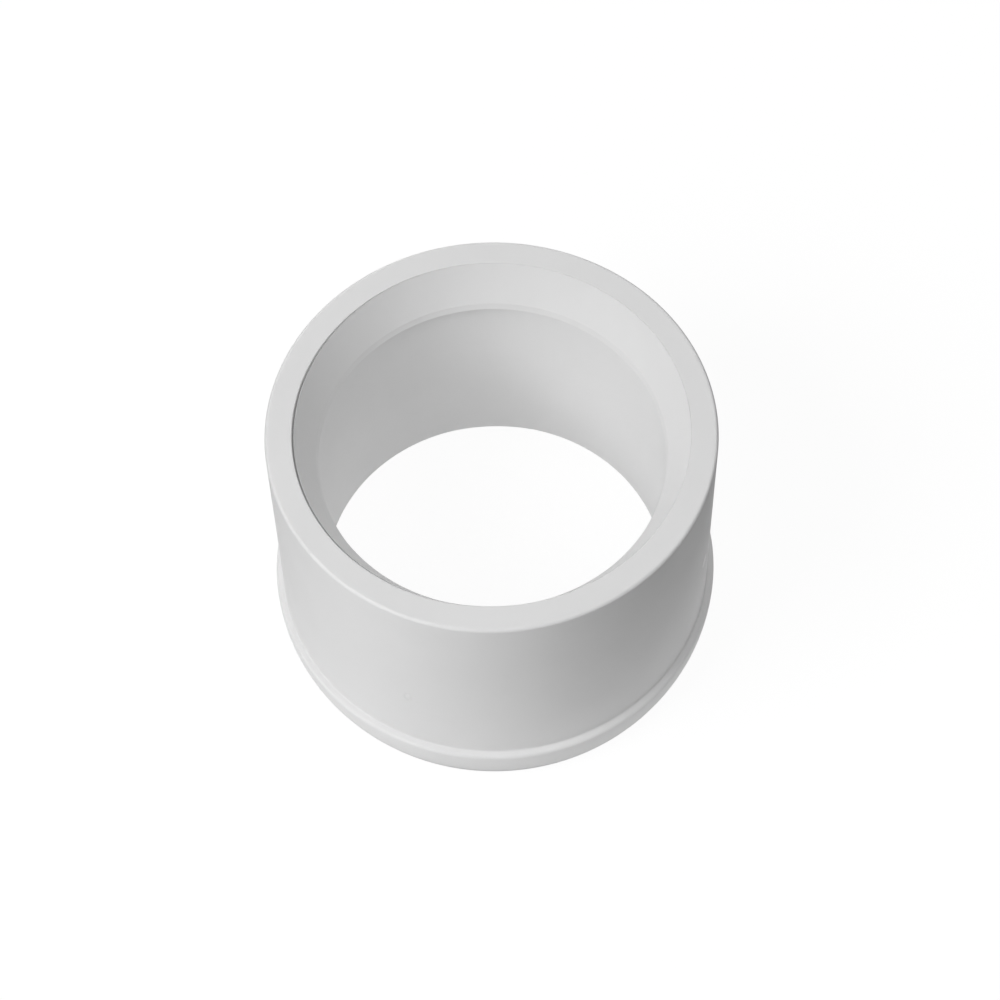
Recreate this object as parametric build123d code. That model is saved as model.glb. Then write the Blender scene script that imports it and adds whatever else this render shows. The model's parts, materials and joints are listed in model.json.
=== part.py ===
from build123d import *
import os

# Short solvent-weld reducer for plastic waste pipe, moulded in one piece.
# Millimetres. +Z runs along the pipe axis. The origin is on the axis, in the plane of the foot.
# The collar end stands at z = 0, and the spigot's rim is at the top.

# Driving dimensions
SPIGOT_DIAMETER = 50.0
SOCKET_DIAMETER = 40.2
HEIGHT = 36.0
SPIGOT_LENGTH = 30.0

# Rim: flat top face with rounded edges
RIM_OUTER_ROUND = 0.4
RIM_INNER_RADIUS = 22.0
RIM_INNER_ROUND = 0.12

# Countersink from the rim down to the pipe stop, in which the waterway narrows
STOP_TOP_RADIUS = 19.6
STOP_TOP_BELOW_RIM = 4.7
STOP_BOTTOM_RADIUS = 19.35
STOP_BOTTOM_BELOW_RIM = 5.7
STOP_ROUND = 0.12

# Lead-in at the socket's mouth
MOUTH_RADIUS = 22.0
MOUTH_DEPTH = 3.25

# Collar: a crowned band that stops the spigot at its full depth
COLLAR_RADIUS = 25.9
COLLAR_MIDDLE_RADIUS = 25.66
COLLAR_MIDDLE_HEIGHT = 3.0
COLLAR_FOOT_RADIUS = 24.75
COLLAR_EDGE_ROUND = 0.4
SHOULDER_RISE = 0.12
SHOULDER_FILLET = 0.25
FOOT_EDGE_ROUND = 0.2

spigot_radius = SPIGOT_DIAMETER / 2
socket_radius = SOCKET_DIAMETER / 2
collar_height = HEIGHT - SPIGOT_LENGTH
stop_top_height = HEIGHT - STOP_TOP_BELOW_RIM
stop_bottom_height = HEIGHT - STOP_BOTTOM_BELOW_RIM

# Corners of the ring's section, as (radius, height)
foot_inner = (MOUTH_RADIUS, 0)
foot_outer = (COLLAR_FOOT_RADIUS, 0)
collar_middle = (COLLAR_MIDDLE_RADIUS, COLLAR_MIDDLE_HEIGHT)
collar_top = (COLLAR_RADIUS, collar_height)
shoulder_root = (spigot_radius, collar_height + SHOULDER_RISE)
rim_outer = (spigot_radius, HEIGHT)
rim_inner = (RIM_INNER_RADIUS, HEIGHT)
stop_top = (STOP_TOP_RADIUS, stop_top_height)
stop_bottom = (STOP_BOTTOM_RADIUS, stop_bottom_height)
stop_root = (socket_radius, stop_bottom_height)
mouth_root = (socket_radius, MOUTH_DEPTH)


def section_corner(face, corner):
    """The section's vertex nearest to a (radius, height) corner."""
    target = Vector(corner[0], 0, corner[1])
    return min(face.vertices(), key=lambda vertex: (Vector(vertex) - target).length)


def ring_section():
    """Half section of the ring in the XZ plane, with its edges rounded."""
    with BuildSketch(Plane.XZ) as sketch:
        with BuildLine():
            Line(foot_inner, foot_outer)
            ThreePointArc(foot_outer, collar_middle, collar_top)
            Polyline(
                collar_top,
                shoulder_root,
                rim_outer,
                rim_inner,
                stop_top,
                stop_bottom,
                stop_root,
                mouth_root,
                foot_inner,
            )
        make_face()
        rounds = [
            (foot_outer, FOOT_EDGE_ROUND),
            (collar_top, COLLAR_EDGE_ROUND),
            (shoulder_root, SHOULDER_FILLET),
            (rim_outer, RIM_OUTER_ROUND),
            (rim_inner, RIM_INNER_ROUND),
            (stop_bottom, STOP_ROUND),
        ]
        for corner, radius in rounds:
            fillet(section_corner(sketch.sketch, corner), radius)
    return sketch.sketch


def reducer_body():
    """The whole moulding: the ring section turned once round the pipe axis."""
    with BuildPart() as body:
        add(ring_section())
        revolve(axis=Axis.Z)
    return body.part


os.makedirs("parts", exist_ok=True)
export_step(reducer_body(), "parts/reducer_body.step")
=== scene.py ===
import json
from math import acos, ceil, cos, degrees, exp, hypot, pi, radians, sin, tan

import bmesh
import bpy
from mathutils import Matrix, Vector


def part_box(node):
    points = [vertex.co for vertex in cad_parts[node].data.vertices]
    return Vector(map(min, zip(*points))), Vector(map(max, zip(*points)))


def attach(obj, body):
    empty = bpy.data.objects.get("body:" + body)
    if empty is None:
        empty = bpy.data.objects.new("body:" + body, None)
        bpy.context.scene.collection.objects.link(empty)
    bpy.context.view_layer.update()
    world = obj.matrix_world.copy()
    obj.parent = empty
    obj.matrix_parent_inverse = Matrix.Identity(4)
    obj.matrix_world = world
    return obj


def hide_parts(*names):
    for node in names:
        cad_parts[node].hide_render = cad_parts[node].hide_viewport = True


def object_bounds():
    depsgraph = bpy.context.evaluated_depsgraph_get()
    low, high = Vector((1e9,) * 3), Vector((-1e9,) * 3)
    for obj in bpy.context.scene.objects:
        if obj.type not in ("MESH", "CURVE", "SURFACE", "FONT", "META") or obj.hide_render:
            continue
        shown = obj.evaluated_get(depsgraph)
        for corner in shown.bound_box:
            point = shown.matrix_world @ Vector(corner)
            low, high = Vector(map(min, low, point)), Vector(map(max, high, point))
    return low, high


# A short solvent-weld pipe reducer, moulded in one piece of white PVC.
# Metres, +Z along the pipe axis, the foot in the plane z = 0.
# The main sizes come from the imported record, and the rest are named here.

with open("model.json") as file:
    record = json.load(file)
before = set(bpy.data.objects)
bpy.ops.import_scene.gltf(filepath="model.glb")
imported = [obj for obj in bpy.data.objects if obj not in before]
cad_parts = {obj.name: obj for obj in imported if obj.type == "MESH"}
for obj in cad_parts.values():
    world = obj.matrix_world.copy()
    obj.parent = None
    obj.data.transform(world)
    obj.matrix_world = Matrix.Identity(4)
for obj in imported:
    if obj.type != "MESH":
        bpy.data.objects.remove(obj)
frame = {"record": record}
cad_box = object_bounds()

MM = 0.001


# ---------------------------------------------------------------- sizes

def mount(name):
    """The record's mount of that name."""
    return next(m for m in frame["record"]["mounts"] if m["name"] == name)


NODE = "reducer_body"
box_low, box_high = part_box(NODE)
HEIGHT = box_high.z - box_low.z
SPIGOT_RADIUS = mount("spigot")["dims"]["r_mm"] * MM
SOCKET_RADIUS = mount("socket")["dims"]["r_mm"] * MM

# The collar's widest edge stays this far inside the CAD body's box
INSIDE_BOX = 0.01 * MM
COLLAR_RADIUS = min(box_high.x, box_high.y) - INSIDE_BOX

SPIGOT_LENGTH = 30.0 * MM
RIM_OUTER_ROUND = 0.4 * MM
RIM_INNER_RADIUS = 22.0 * MM
RIM_INNER_ROUND = 0.12 * MM
STOP_TOP_RADIUS = 19.6 * MM
STOP_TOP_BELOW_RIM = 4.7 * MM
STOP_BOTTOM_RADIUS = 19.35 * MM
STOP_BOTTOM_BELOW_RIM = 5.7 * MM
STOP_TOP_ROUND = 0.08 * MM
STOP_ROUND = 0.12 * MM
STOP_ROOT_ROUND = 0.15 * MM
MOUTH_RADIUS = 22.0 * MM
MOUTH_DEPTH = 3.25 * MM
MOUTH_ROUND = 0.2 * MM
COLLAR_MIDDLE_RADIUS = 25.66 * MM
COLLAR_MIDDLE_HEIGHT = 3.0 * MM
COLLAR_FOOT_RADIUS = 24.75 * MM
COLLAR_EDGE_ROUND = 0.4 * MM
SHOULDER_RISE = 0.12 * MM
SHOULDER_FILLET = 0.25 * MM
FOOT_EDGE_ROUND = 0.2 * MM

# A fine notch just inside the rim's inner edge, where two parts of the mould met: its root and its lip
NOTCH_ROOT_IN = 0.04 * MM
NOTCH_DEPTH = 0.85 * MM
NOTCH_WIDTH = 0.23 * MM
NOTCH_LIP_BELOW = 0.35 * MM
NOTCH_LIP_ROUND = 0.04 * MM
NOTCH_REACH = 0.9 * MM

# The notch is widest at NOTCH_SIDE, an angle in degrees, and nearly closed on the other side of the ring
NOTCH_SIDE = 205
NOTCH_FADE = 4
NOTCH_LEAST = 0.1

# Two small gate scars on the spigot's wall: angle in degrees, height above the foot, half width, half height,
# how proud the pip is, and how deep the ring round the pip is sunk
GATE_SCARS = [
    (246.5, 16.4 * MM, 0.45 * MM, 0.6 * MM, 0, 0.07 * MM),
    (342.75, 18.15 * MM, 0.8 * MM, 0.8 * MM, 0.02 * MM, 0),
]
SCAR_STEEPNESS = 14
SCAR_RING_SHARE = 0.3
SCAR_REACH = 1.3 * MM

# The second scar's colour is turned to pure white, a painted highlight that stands in for a glint on the
# scar: fully out to the first distance from its centre, and not at all beyond the second
GLINT_SCAR = GATE_SCARS[1]
GLINT_FULL = 0.8 * MM
GLINT_END = 0.9 * MM

# Mesh density. A point within ON_WALL of the spigot's radius is on its wall
TURN_STEPS = 320
ROW_SPACING = 1.2 * MM
EDGE_ROW = 0.1 * MM
ARC_STEP_DEGREES = 9
SCAR_SPACING = 0.08 * MM
ON_WALL = 0.0001 * MM
CROWN_STEPS = 10


# ---------------------------------------------------------------- the ring's section

def arc_through(first, middle, last, steps):
    """Points along the arc that runs from first to last through middle."""
    a, b = middle - first, last - first
    across = b.orthogonal() * a.length_squared - a.orthogonal() * b.length_squared
    centre = first - across / (2 * a.cross(b))
    arm = first - centre
    turn = -arm.angle_signed(last - centre)
    return [centre + Matrix.Rotation(turn * i / steps, 2) @ arm for i in range(steps + 1)]


def rounded_corner(before, corner, after, radius):
    """The arc of that radius which replaces a corner, as points in order from before towards after."""
    if radius == 0:
        return [corner]
    back = (before - corner).normalized()
    on = (after - corner).normalized()
    opening = acos(max(-1, min(1, back.dot(on))))
    turn = pi - opening
    reach = radius / tan(opening / 2)
    start = corner + back * reach
    centre = corner + (back + on).normalized() * radius / sin(opening / 2)
    side = 1 if back.cross(on) < 0 else -1
    steps = max(2, ceil(degrees(turn) / ARC_STEP_DEGREES))
    arm = start - centre
    return [centre + Matrix.Rotation(side * turn * i / steps, 2) @ arm for i in range(steps + 1)]


def rows_between(a, b):
    """Points between the ends of a straight run: one close to each end, and even rows between those."""
    length = (b - a).length
    if length < 3 * EDGE_ROW:
        return []
    along = (b - a).normalized()
    first, last = a + along * EDGE_ROW, b - along * EDGE_ROW
    steps = max(1, ceil((last - first).length / ROW_SPACING))
    return [first.lerp(last, i / steps) for i in range(steps + 1)]


def section():
    """The closed outline of the ring's wall, as (radius, height) points in order, from the foot outwards."""
    collar_top = HEIGHT - SPIGOT_LENGTH
    crown = arc_through(
        Vector((COLLAR_FOOT_RADIUS, 0)),
        Vector((COLLAR_MIDDLE_RADIUS, COLLAR_MIDDLE_HEIGHT)),
        Vector((COLLAR_RADIUS, collar_top)),
        CROWN_STEPS,
    )
    corners = [(MOUTH_RADIUS, 0, MOUTH_ROUND), (*crown[0], FOOT_EDGE_ROUND)]
    corners += [(*point, 0) for point in crown[1:-1]]
    corners += [
        (*crown[-1], COLLAR_EDGE_ROUND),
        (SPIGOT_RADIUS, collar_top + SHOULDER_RISE, SHOULDER_FILLET),
        (SPIGOT_RADIUS, HEIGHT, RIM_OUTER_ROUND),
        (RIM_INNER_RADIUS, HEIGHT, RIM_INNER_ROUND),
        (RIM_INNER_RADIUS - NOTCH_ROOT_IN, HEIGHT - NOTCH_DEPTH, 0),
        (RIM_INNER_RADIUS - NOTCH_WIDTH, HEIGHT - NOTCH_LIP_BELOW, NOTCH_LIP_ROUND),
        (STOP_TOP_RADIUS, HEIGHT - STOP_TOP_BELOW_RIM, STOP_TOP_ROUND),
        (STOP_BOTTOM_RADIUS, HEIGHT - STOP_BOTTOM_BELOW_RIM, STOP_ROUND),
        (SOCKET_RADIUS, HEIGHT - STOP_BOTTOM_BELOW_RIM, STOP_ROOT_ROUND),
        (SOCKET_RADIUS, MOUTH_DEPTH, MOUTH_ROUND),
    ]
    places = [Vector(corner[:2]) for corner in corners]
    arcs = [
        rounded_corner(places[i - 1], place, places[(i + 1) % len(places)], corners[i][2])
        for i, place in enumerate(places)
    ]
    outline = []
    for i, arc in enumerate(arcs):
        outline += arc
        outline += rows_between(arc[-1], arcs[(i + 1) % len(arcs)][0])
    return outline


def refined(places, centres):
    """The places in order, with those near any of the centres replaced by closely spaced ones."""
    def nearest(place):
        return min(abs(place - centre) for centre in centres)

    kept = [place for place in places if nearest(place) > SCAR_REACH + SCAR_SPACING]
    even = [i * SCAR_SPACING for i in range(ceil(max(places) / SCAR_SPACING))]
    close = [place for place in even if nearest(place) < SCAR_REACH]
    return sorted(kept + close)


def with_scar_rows(outline):
    """The outline with closer rows on the spigot's wall, at the heights of the gate scars."""
    wall = [p for p in outline if abs(p.x - SPIGOT_RADIUS) < ON_WALL]
    at = outline.index(wall[0])
    heights = refined([p.y for p in wall], [scar[1] for scar in GATE_SCARS])
    return outline[:at] + [Vector((SPIGOT_RADIUS, y)) for y in heights] + outline[at + len(wall):]


# ---------------------------------------------------------------- the body's mesh

def turn_angles():
    """The angles of the mesh's columns, in radians, with closer columns at the gate scars."""
    round_wall = [2 * pi * SPIGOT_RADIUS * i / TURN_STEPS for i in range(TURN_STEPS)]
    scars = [radians(scar[0]) * SPIGOT_RADIUS for scar in GATE_SCARS]
    return [place / SPIGOT_RADIUS for place in refined(round_wall, scars)]


def notched(point, angle):
    """The section's point at that angle. Close to the rim's edge it moves in as the notch closes."""
    edge = Vector((RIM_INNER_RADIUS, HEIGHT))
    if (point - edge).length > NOTCH_REACH:
        return point
    opening = max(NOTCH_LEAST, abs(cos((angle - radians(NOTCH_SIDE)) / 2)) ** NOTCH_FADE)
    return edge + (point - edge) * opening


def scar_relief(angle, height):
    """How far the spigot's wall stands proud at a place: low round pips, each in a shallow sunk ring."""
    relief = 0
    for scar_angle, scar_height, half_width, half_height, proud, sunk in GATE_SCARS:
        along = (angle - radians(scar_angle)) * SPIGOT_RADIUS
        up = height - scar_height
        if hypot(along, up) > SCAR_REACH:
            continue
        away = hypot(along / half_width, up / half_height)
        pip = exp(-away ** SCAR_STEEPNESS)
        ring = exp(-((away - 1) / SCAR_RING_SHARE) ** 2)
        relief += proud * pip - sunk * ring
    return relief


def body_mesh():
    """The whole moulding as one closed mesh: the section turned round the axis, with the scars."""
    outline = with_scar_rows(section())
    angles = turn_angles()
    made = bmesh.new()
    grid = []
    for angle in angles:
        column = []
        for point in outline:
            radius, height = notched(point, angle)
            if abs(radius - SPIGOT_RADIUS) < ON_WALL:
                radius += scar_relief(angle, height)
            column.append(made.verts.new((radius * cos(angle), radius * sin(angle), height)))
        grid.append(column)
    for i, column in enumerate(grid):
        following = grid[(i + 1) % len(grid)]
        for j in range(len(column)):
            k = (j + 1) % len(column)
            made.faces.new((column[j], following[j], following[k], column[k]))
    bmesh.ops.recalc_face_normals(made, faces=made.faces)
    for face in made.faces:
        face.smooth = True
    mesh = bpy.data.meshes.new("reducer_moulding")
    made.to_mesh(mesh)
    made.free()
    return mesh


# ---------------------------------------------------------------- materials

# The plastic's tone and roughness, each with its lowest and highest value
PVC_TONE = (0.81, 0.83)
PVC_ROUGHNESS = (0.46, 0.54)
PVC_IOR = 1.53
SCATTER_SHARE = 0.2
SCATTER_DEPTH = 0.5 * MM

# Cells per metre of the plastic's textures, and the depths of its bumps
MOTTLE_SCALE = 90
SHEEN_SCALE = 260
WAVINESS_SCALE = 220
GRAIN_SCALE = 5200
WAVINESS_DEPTH = 0.02 * MM
GRAIN_DEPTH = 0.006 * MM
BUMP_STRENGTH = 0.5

# The part of a noise texture's range that it really fills
NOISE_LOW = 0.3
NOISE_HIGH = 0.7


def new_material(name):
    """An empty node material with its principled shader."""
    material = bpy.data.materials.new(name)
    material.use_nodes = True
    tree = material.node_tree
    return material, tree.nodes, tree.links, tree.nodes["Principled BSDF"]


def grey(value):
    """An opaque grey of that value."""
    return (value, value, value, 1)


def noise(nodes, links, coordinates, scale, detail):
    """A noise texture in object space. Scale is in cells per metre."""
    texture = nodes.new("ShaderNodeTexNoise")
    texture.inputs["Scale"].default_value = scale
    texture.inputs["Detail"].default_value = detail
    links.new(coordinates.outputs["Object"], texture.inputs["Vector"])
    return texture


def spread(nodes, links, source, low, high):
    """The noise stretched to run from low to high."""
    mapped = nodes.new("ShaderNodeMapRange")
    mapped.inputs["From Min"].default_value = NOISE_LOW
    mapped.inputs["From Max"].default_value = NOISE_HIGH
    mapped.inputs["To Min"].default_value = low
    mapped.inputs["To Max"].default_value = high
    links.new(source.outputs["Fac"], mapped.inputs["Value"])
    return mapped


def bump(nodes, links, height, depth, below=None):
    """A bump of that depth in metres, over another bump if there is one below."""
    made = nodes.new("ShaderNodeBump")
    made.inputs["Strength"].default_value = BUMP_STRENGTH
    made.inputs["Distance"].default_value = depth
    links.new(height.outputs["Fac"], made.inputs["Height"])
    if below:
        links.new(below.outputs["Normal"], made.inputs["Normal"])
    return made


def distance_from(nodes, links, coordinates, centre):
    """How far a point of the surface is from that centre, in metres."""
    away = nodes.new("ShaderNodeVectorMath")
    away.operation = "DISTANCE"
    away.inputs[1].default_value = centre
    links.new(coordinates.outputs["Object"], away.inputs[0])
    return away


def painted_glint(nodes, links, coordinates, tone):
    """The tone turned to pure white on the second scar: a painted highlight, a glint painted into the colour.
    """
    angle, height = radians(GLINT_SCAR[0]), GLINT_SCAR[1]
    centre = (SPIGOT_RADIUS * cos(angle), SPIGOT_RADIUS * sin(angle), height)
    share = nodes.new("ShaderNodeMapRange")
    share.inputs["From Min"].default_value = GLINT_END
    share.inputs["From Max"].default_value = GLINT_FULL
    links.new(distance_from(nodes, links, coordinates, centre).outputs["Value"], share.inputs["Value"])
    mixed = nodes.new("ShaderNodeMix")
    mixed.data_type = "RGBA"
    mixed.inputs["B"].default_value = grey(1)
    links.new(tone.outputs["Result"], mixed.inputs["A"])
    links.new(share.outputs["Result"], mixed.inputs["Factor"])
    return mixed


def white_pvc():
    """Satin white PVC as moulded: faint flow mottling, a slow surface waviness and a fine grain."""
    material, nodes, links, shader = new_material("white_pvc")
    coordinates = nodes.new("ShaderNodeTexCoord")
    mottle = noise(nodes, links, coordinates, MOTTLE_SCALE, detail=3)
    tone = nodes.new("ShaderNodeMix")
    tone.data_type = "RGBA"
    tone.inputs["A"].default_value = grey(PVC_TONE[0])
    tone.inputs["B"].default_value = grey(PVC_TONE[1])
    share = spread(nodes, links, mottle, 0, 1)
    links.new(share.outputs["Result"], tone.inputs["Factor"])
    # The base colour carries a painted highlight, a white glint painted on the second scar
    links.new(painted_glint(nodes, links, coordinates, tone).outputs["Result"], shader.inputs["Base Color"])
    sheen_patches = noise(nodes, links, coordinates, SHEEN_SCALE, detail=4)
    roughness = spread(nodes, links, sheen_patches, *PVC_ROUGHNESS)
    links.new(roughness.outputs["Result"], shader.inputs["Roughness"])
    waves = noise(nodes, links, coordinates, WAVINESS_SCALE, detail=1)
    waviness = bump(nodes, links, waves, WAVINESS_DEPTH)
    grains = noise(nodes, links, coordinates, GRAIN_SCALE, detail=2)
    grain = bump(nodes, links, grains, GRAIN_DEPTH, below=waviness)
    links.new(grain.outputs["Normal"], shader.inputs["Normal"])
    shader.inputs["IOR"].default_value = PVC_IOR
    shader.inputs["Subsurface Weight"].default_value = SCATTER_SHARE
    shader.inputs["Subsurface Radius"].default_value = (1, 1, 1)
    shader.inputs["Subsurface Scale"].default_value = SCATTER_DEPTH
    return material


def table_glow(nodes, links, coordinates):
    """The light that comes up from the table: rings round the part's axis, and a patch on the key's side."""
    rings = nodes.new("ShaderNodeValToRGB")
    reach = nodes.new("ShaderNodeMath")
    reach.operation = "DIVIDE"
    reach.inputs[1].default_value = GLOW_RINGS[-1][0]
    links.new(distance_from(nodes, links, coordinates, (0, 0, 0)).outputs["Value"], reach.inputs[0])
    links.new(reach.outputs["Value"], rings.inputs["Fac"])
    stops = rings.color_ramp.elements
    while len(stops) < len(GLOW_RINGS):
        stops.new(0)
    for stop, (radius, strength) in zip(stops, GLOW_RINGS):
        stop.position = radius / GLOW_RINGS[-1][0]
        stop.color = grey(strength)
    angle = radians(PATCH_AZIMUTH)
    centre = (PATCH_DISTANCE * cos(angle), PATCH_DISTANCE * sin(angle), 0)
    patch = nodes.new("ShaderNodeMapRange")
    patch.interpolation_type = "SMOOTHSTEP"
    patch.inputs["From Min"].default_value = PATCH_FULL
    patch.inputs["From Max"].default_value = PATCH_END
    patch.inputs["To Min"].default_value = PATCH_GLOW
    patch.inputs["To Max"].default_value = 0
    links.new(distance_from(nodes, links, coordinates, centre).outputs["Value"], patch.inputs["Value"])
    total = nodes.new("ShaderNodeMath")
    total.operation = "ADD"
    links.new(rings.outputs["Color"], total.inputs[0])
    links.new(patch.outputs["Result"], total.inputs[1])
    return total


def pale_floor():
    """A white table, lit from beneath near the part, which shows as plain white with a faint shadow."""
    material, nodes, links, shader = new_material("pale_floor")
    shader.inputs["Base Color"].default_value = grey(FLOOR_WHITE)
    shader.inputs["Roughness"].default_value = 1
    shader.inputs["Specular IOR Level"].default_value = 0
    glow = nodes.new("ShaderNodeEmission")
    strength = table_glow(nodes, links, nodes.new("ShaderNodeTexCoord"))
    links.new(strength.outputs["Value"], glow.inputs["Strength"])
    white = nodes.new("ShaderNodeEmission")
    white.inputs["Strength"].default_value = FLOOR_LEVEL
    seen = nodes.new("ShaderNodeMixShader")
    seen.inputs["Fac"].default_value = SHADOW_SHARE
    links.new(white.outputs["Emission"], seen.inputs[1])
    links.new(shader.outputs["BSDF"], seen.inputs[2])
    path = nodes.new("ShaderNodeLightPath")
    either = nodes.new("ShaderNodeMixShader")
    links.new(path.outputs["Is Camera Ray"], either.inputs["Fac"])
    links.new(glow.outputs["Emission"], either.inputs[1])
    links.new(seen.outputs["Shader"], either.inputs[2])
    links.new(either.outputs["Shader"], nodes["Material Output"].inputs["Surface"])
    return material


# ---------------------------------------------------------------- the piece

body = bpy.data.objects.new("reducer_moulding", body_mesh())
bpy.context.scene.collection.objects.link(body)
body.data.materials.append(white_pvc())
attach(body, "root")
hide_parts(NODE)


# ---------------------------------------------------------------- studio

FLOOR_RADIUS = 4.0
FLOOR_SIDES = 96
LIGHT_DISTANCE = 0.7

# The camera sees the floor as an even white of FLOOR_LEVEL, with a share of the lit and shadowed white floor
FLOOR_WHITE = 0.85
FLOOR_LEVEL = 1.05
SHADOW_SHARE = 0.12

# The even light from all round
SKY = 0.23

# The table's glow by distance from the part's axis, dark just under its foot
GLOW_RINGS = [
    (0, 0.6),
    (21.5 * MM, 0.6),
    (22.5 * MM, 0),
    (24.7 * MM, 0),
    (25.9 * MM, 0.75),
    (42 * MM, 0.75),
    (50 * MM, 0.25),
    (85 * MM, 0.25),
    (100 * MM, 0),
]
PATCH_AZIMUTH = 240
PATCH_DISTANCE = 145 * MM
PATCH_FULL = 40 * MM
PATCH_END = 105 * MM
PATCH_GLOW = 1.6


def floor():
    """A large flat disc in the plane of the foot."""
    made = bmesh.new()
    bmesh.ops.create_circle(made, cap_ends=True, segments=FLOOR_SIDES, radius=FLOOR_RADIUS)
    mesh = bpy.data.meshes.new("studio_floor")
    made.to_mesh(mesh)
    made.free()
    disc = bpy.data.objects.new("studio_floor", mesh)
    bpy.context.scene.collection.objects.link(disc)
    disc.location.z = cad_box[0].z
    disc.data.materials.append(pale_floor())
    return disc


def softbox(name, azimuth, elevation, size, power):
    """A square soft light that faces the part. Its azimuth is counted from +X towards +Y."""
    light = bpy.data.lights.new(name, "AREA")
    light.shape = "SQUARE"
    light.size = size
    light.energy = power
    holder = bpy.data.objects.new(name, light)
    bpy.context.scene.collection.objects.link(holder)
    a, e = radians(azimuth), radians(elevation)
    towards = Vector((cos(a) * cos(e), sin(a) * cos(e), sin(e)))
    middle = (cad_box[0] + cad_box[1]) / 2
    holder.location = middle + towards * LIGHT_DISTANCE
    holder.visible_camera = False
    holder.rotation_euler = towards.to_track_quat("Z", "Y").to_euler()
    return holder


def surroundings():
    """A dim even light from all round, which shows as plain white behind the floor."""
    made = bpy.data.worlds.new("studio")
    made.use_nodes = True
    nodes, links = made.node_tree.nodes, made.node_tree.links
    path = nodes.new("ShaderNodeLightPath")
    strength = nodes.new("ShaderNodeMapRange")
    strength.inputs["To Min"].default_value = SKY
    strength.inputs["To Max"].default_value = 1
    links.new(path.outputs["Is Camera Ray"], strength.inputs["Value"])
    links.new(strength.outputs["Result"], nodes["Background"].inputs["Strength"])
    nodes["Background"].inputs["Color"].default_value = grey(1)
    bpy.context.scene.world = made


# The camera's place from the rim's centre: angles in degrees, distances in spigot radii.
# LENS is the focal length in sensor widths
VIEW_ELEVATION = 60.39
VIEW_DISTANCE = 13.583
VIEW_ROLL = -1.353
VIEW_ASIDE = -0.0379
VIEW_DOWN = -0.3112
LENS = 3.0865
SENSOR = 36.0


def camera():
    """The camera looks down at the ring from the front."""
    data = bpy.data.cameras.new("camera")
    data.sensor_width = SENSOR
    data.lens = LENS * SENSOR
    holder = bpy.data.objects.new("camera", data)
    bpy.context.scene.collection.objects.link(holder)
    elevation = radians(VIEW_ELEVATION)
    level = Matrix.Rotation(pi / 2 - elevation, 3, "X")
    turned = level @ Matrix.Rotation(radians(VIEW_ROLL), 3, "Z")
    rim = Vector((0, 0, cad_box[1].z))
    offset = Vector((VIEW_ASIDE, -VIEW_DOWN, -VIEW_DISTANCE))
    holder.matrix_world = Matrix.Translation(rim - turned @ offset * SPIGOT_RADIUS) @ turned.to_4x4()
    bpy.context.scene.camera = holder


floor()
softbox("key", azimuth=210, elevation=45, size=0.35, power=2.74)
softbox("front_fill", azimuth=255, elevation=32, size=0.35, power=0.5)
softbox("back_fill", azimuth=100, elevation=15, size=0.5, power=1.5)
softbox("side_fill", azimuth=0, elevation=60, size=0.5, power=0.75)
surroundings()
camera()
bpy.context.scene.view_settings.view_transform = "Standard"
